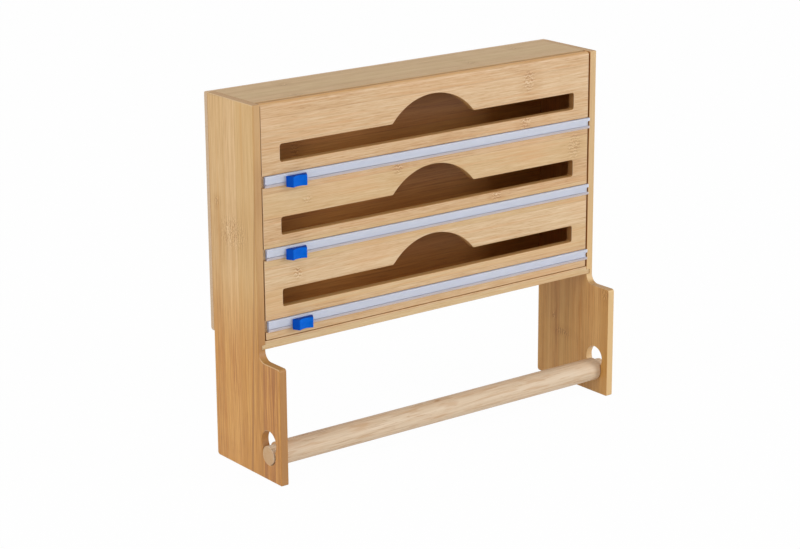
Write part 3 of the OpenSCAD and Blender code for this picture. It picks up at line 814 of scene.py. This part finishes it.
def makeKnob(level):
    s = knobShape
    low, high = sizes(level + "_cutter_knob")
    middle = (low.x + high.x) / 2
    half = s["frontL"] / 2
    r = (half ** 2 + s["scoop"] ** 2) / (2 * s["scoop"])
    span = math.degrees(math.asin(half / r))
    scoop = arc(middle, low.y + s["scoop"] - r, r, 90 + span, 90 - span, s["steps"])
    scoop = scoop[s["trim"]:-s["trim"]]          # makes room for the rounded front corners
    ends = [(low.x, high.y, s["backR"]), (middle - half, low.y, s["frontR"])]
    ends += [(x, y, 0) for x, y in scoop]
    ends += [(middle + half, low.y, s["frontR"]), (high.x, high.y, s["backR"])]
    grip = slab([rounded(ends, steps=6)], "z", low.z, high.z, s["arris"], s["arris"])
    obj = solid(level + "CutterGrip", grip)
    dress(obj, knobBlue, "knob_plastic", level + "_cutter", level + "_cutter_knob")


for level in levels:
    makeRail(level)
    makeKnob(level)
print("rails and cutters made")


# towel bar

barShape = {"tenonD": 16, "shoulderGap": 0.5, "edgeR": 0.6, "tenonR": 0.8, "neckR": 0.3}


def makeBar():
    s = barShape
    low, high = sizes("towel_bar")
    r = (high.z - low.z) / 2
    shoulder = sizes("right_side_panel")[0].x - s["shoulderGap"]
    tenon = s["tenonD"] / 2
    half = [(high.x, 0, 0), (high.x, tenon, s["tenonR"]), (shoulder, tenon, s["neckR"]),
            (shoulder, r, s["edgeR"]), (0, r, 0), (0, 0, 0)]
    right = [p for p in rounded(half, steps=6) if p[1] > 0][:-1]
    profile = right + [(-x, y) for x, y in reversed(right)]
    obj = solid("towelRod", turned(profile, (low.y + high.y) / 2, (low.z + high.z) / 2))
    dress(obj, barWood, "dowel_wood", "towel_bar", "towel_bar")


makeBar()
print("towel bar made")


# small hardware keeps its own solids

hardware = {
    "back_panel_screws": zincSteel, "left_hinge_pin": zincSteel, "right_hinge_pin": zincSteel,
    "bottom_board_magnets": nickelPlate, "flap_magnets": nickelPlate,
}
for level in levels:
    hardware[level + "_cutter_shoe"] = shoeWhite
    hardware[level + "_cutter_blade"] = bladeSteel
for node, finish in hardware.items():
    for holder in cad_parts[node].material_slots:
        holder.material = finish
print("hardware finished:", len(hardware))


# camera, at the place that the part's own corners give it

view = {
    "azimuth": -37.1, "elevation": 16.6, "roll": -0.35, "distance": 1942.4, "aimZ": 155,
    "right": -16.5, "up": -19.6,                 # the camera's steps right and up, its aim unturned
    "focalPixels": 2278.4, "imageWidth": 800, "sensor": 36,
}
aim = Vector((0, 0, view["aimZ"]))


def bearing(azimuth, elevation):
    # way from the part to a camera or a lamp, 0 azimuth being straight in front
    turn, tilt = math.radians(azimuth), math.radians(elevation)
    return Vector((math.sin(turn) * math.cos(tilt), -math.cos(turn) * math.cos(tilt), math.sin(tilt)))


def makeCamera():
    back = bearing(view["azimuth"], view["elevation"])
    right = Vector((0, 0, 1)).cross(back).normalized()
    up = back.cross(right)
    roll = math.radians(view["roll"])
    right, up = right * math.cos(roll) + up * math.sin(roll), up * math.cos(roll) - right * math.sin(roll)
    spot = aim + back * view["distance"] + right * view["right"] + up * view["up"]
    data = bpy.data.cameras.new("photoCamera")
    data.sensor_width = view["sensor"]
    data.lens = view["focalPixels"] / view["imageWidth"] * data.sensor_width
    camera = bpy.data.objects.new("photoCamera", data)
    camera.matrix_world = Matrix.Translation(spot * mm) @ Matrix((right, up, back)).transposed().to_4x4()
    bpy.context.scene.collection.objects.link(camera)
    bpy.context.scene.camera = camera


makeCamera()
print("camera placed")


# light and floor

studio = {"floorHalf": 8000, "floorWhite": 0.98, "paper": 0.86, "ambient": 0.52}
lamps = [
    # name, azimuth, elevation, distance, width, height, watts
    ("frontSoftbox", 42, 13, 5000, 1900, 2500, 101),
    ("leftSoftbox", -86, 26, 4000, 2600, 2600, 60),
]


def grey(value):
    return (value, value, value, 1)


def makeLamp(name, azimuth, elevation, distance, width, height, watts):
    back = bearing(azimuth, elevation)
    data = bpy.data.lights.new(name, "AREA")
    data.shape = "RECTANGLE"
    data.size, data.size_y = width * mm, height * mm
    data.energy = watts
    lamp = bpy.data.objects.new(name, data)
    lamp.location = (aim + back * distance) * mm
    lamp.rotation_mode = "QUATERNION"
    lamp.rotation_quaternion = (-back).to_track_quat("-Z", "Y")
    bpy.context.scene.collection.objects.link(lamp)


def seenDirectly(f):
    # 1 where the camera looks, straight or in a mirror or glass
    paths = f.node("LightPath", {}, {}).socket.node.outputs
    seen = [Wire(f, paths[name]) for name in ("Is Camera Ray", "Is Glossy Ray", "Is Transmission Ray")]
    return seen[0].math("MAXIMUM", seen[1]).math("MAXIMUM", seen[2])


def makeFloor():
    half = studio["floorHalf"]
    corners = [(-half, -half, 0), (half, -half, 0), (half, half, 0), (-half, half, 0)]
    bm = bmesh.new()
    bm.faces.new([bm.verts.new(Vector(corner) * mm) for corner in corners])
    floor = solid("paleFloor", bm)
    material, f = newFinish("paleFloor")
    paper = f.node("BsdfDiffuse", {}, {"Color": grey(studio["paper"])})
    white = f.node("Emission", {}, {"Color": grey(1), "Strength": 1})
    share = seenDirectly(f) * studio["floorWhite"]
    f.show(f.node("MixShader", {}, {0: share, 1: paper, 2: white}))
    floor.data.materials.append(material)


def makeWorld():
    world = bpy.data.worlds.new("studio")
    world.use_nodes = True
    bpy.context.scene.world = world
    f = Finish(world.node_tree)
    soft = f.node("Background", {}, {"Color": grey(1), "Strength": studio["ambient"]})
    white = f.node("Background", {}, {"Color": grey(1), "Strength": 1})
    f.node("OutputWorld", {}, {"Surface": f.node("MixShader", {}, {0: seenDirectly(f), 1: soft, 2: white})})


for lamp in lamps:
    makeLamp(*lamp)
makeFloor()
makeWorld()
bpy.context.scene.view_settings.view_transform = "Standard"
print("studio made")
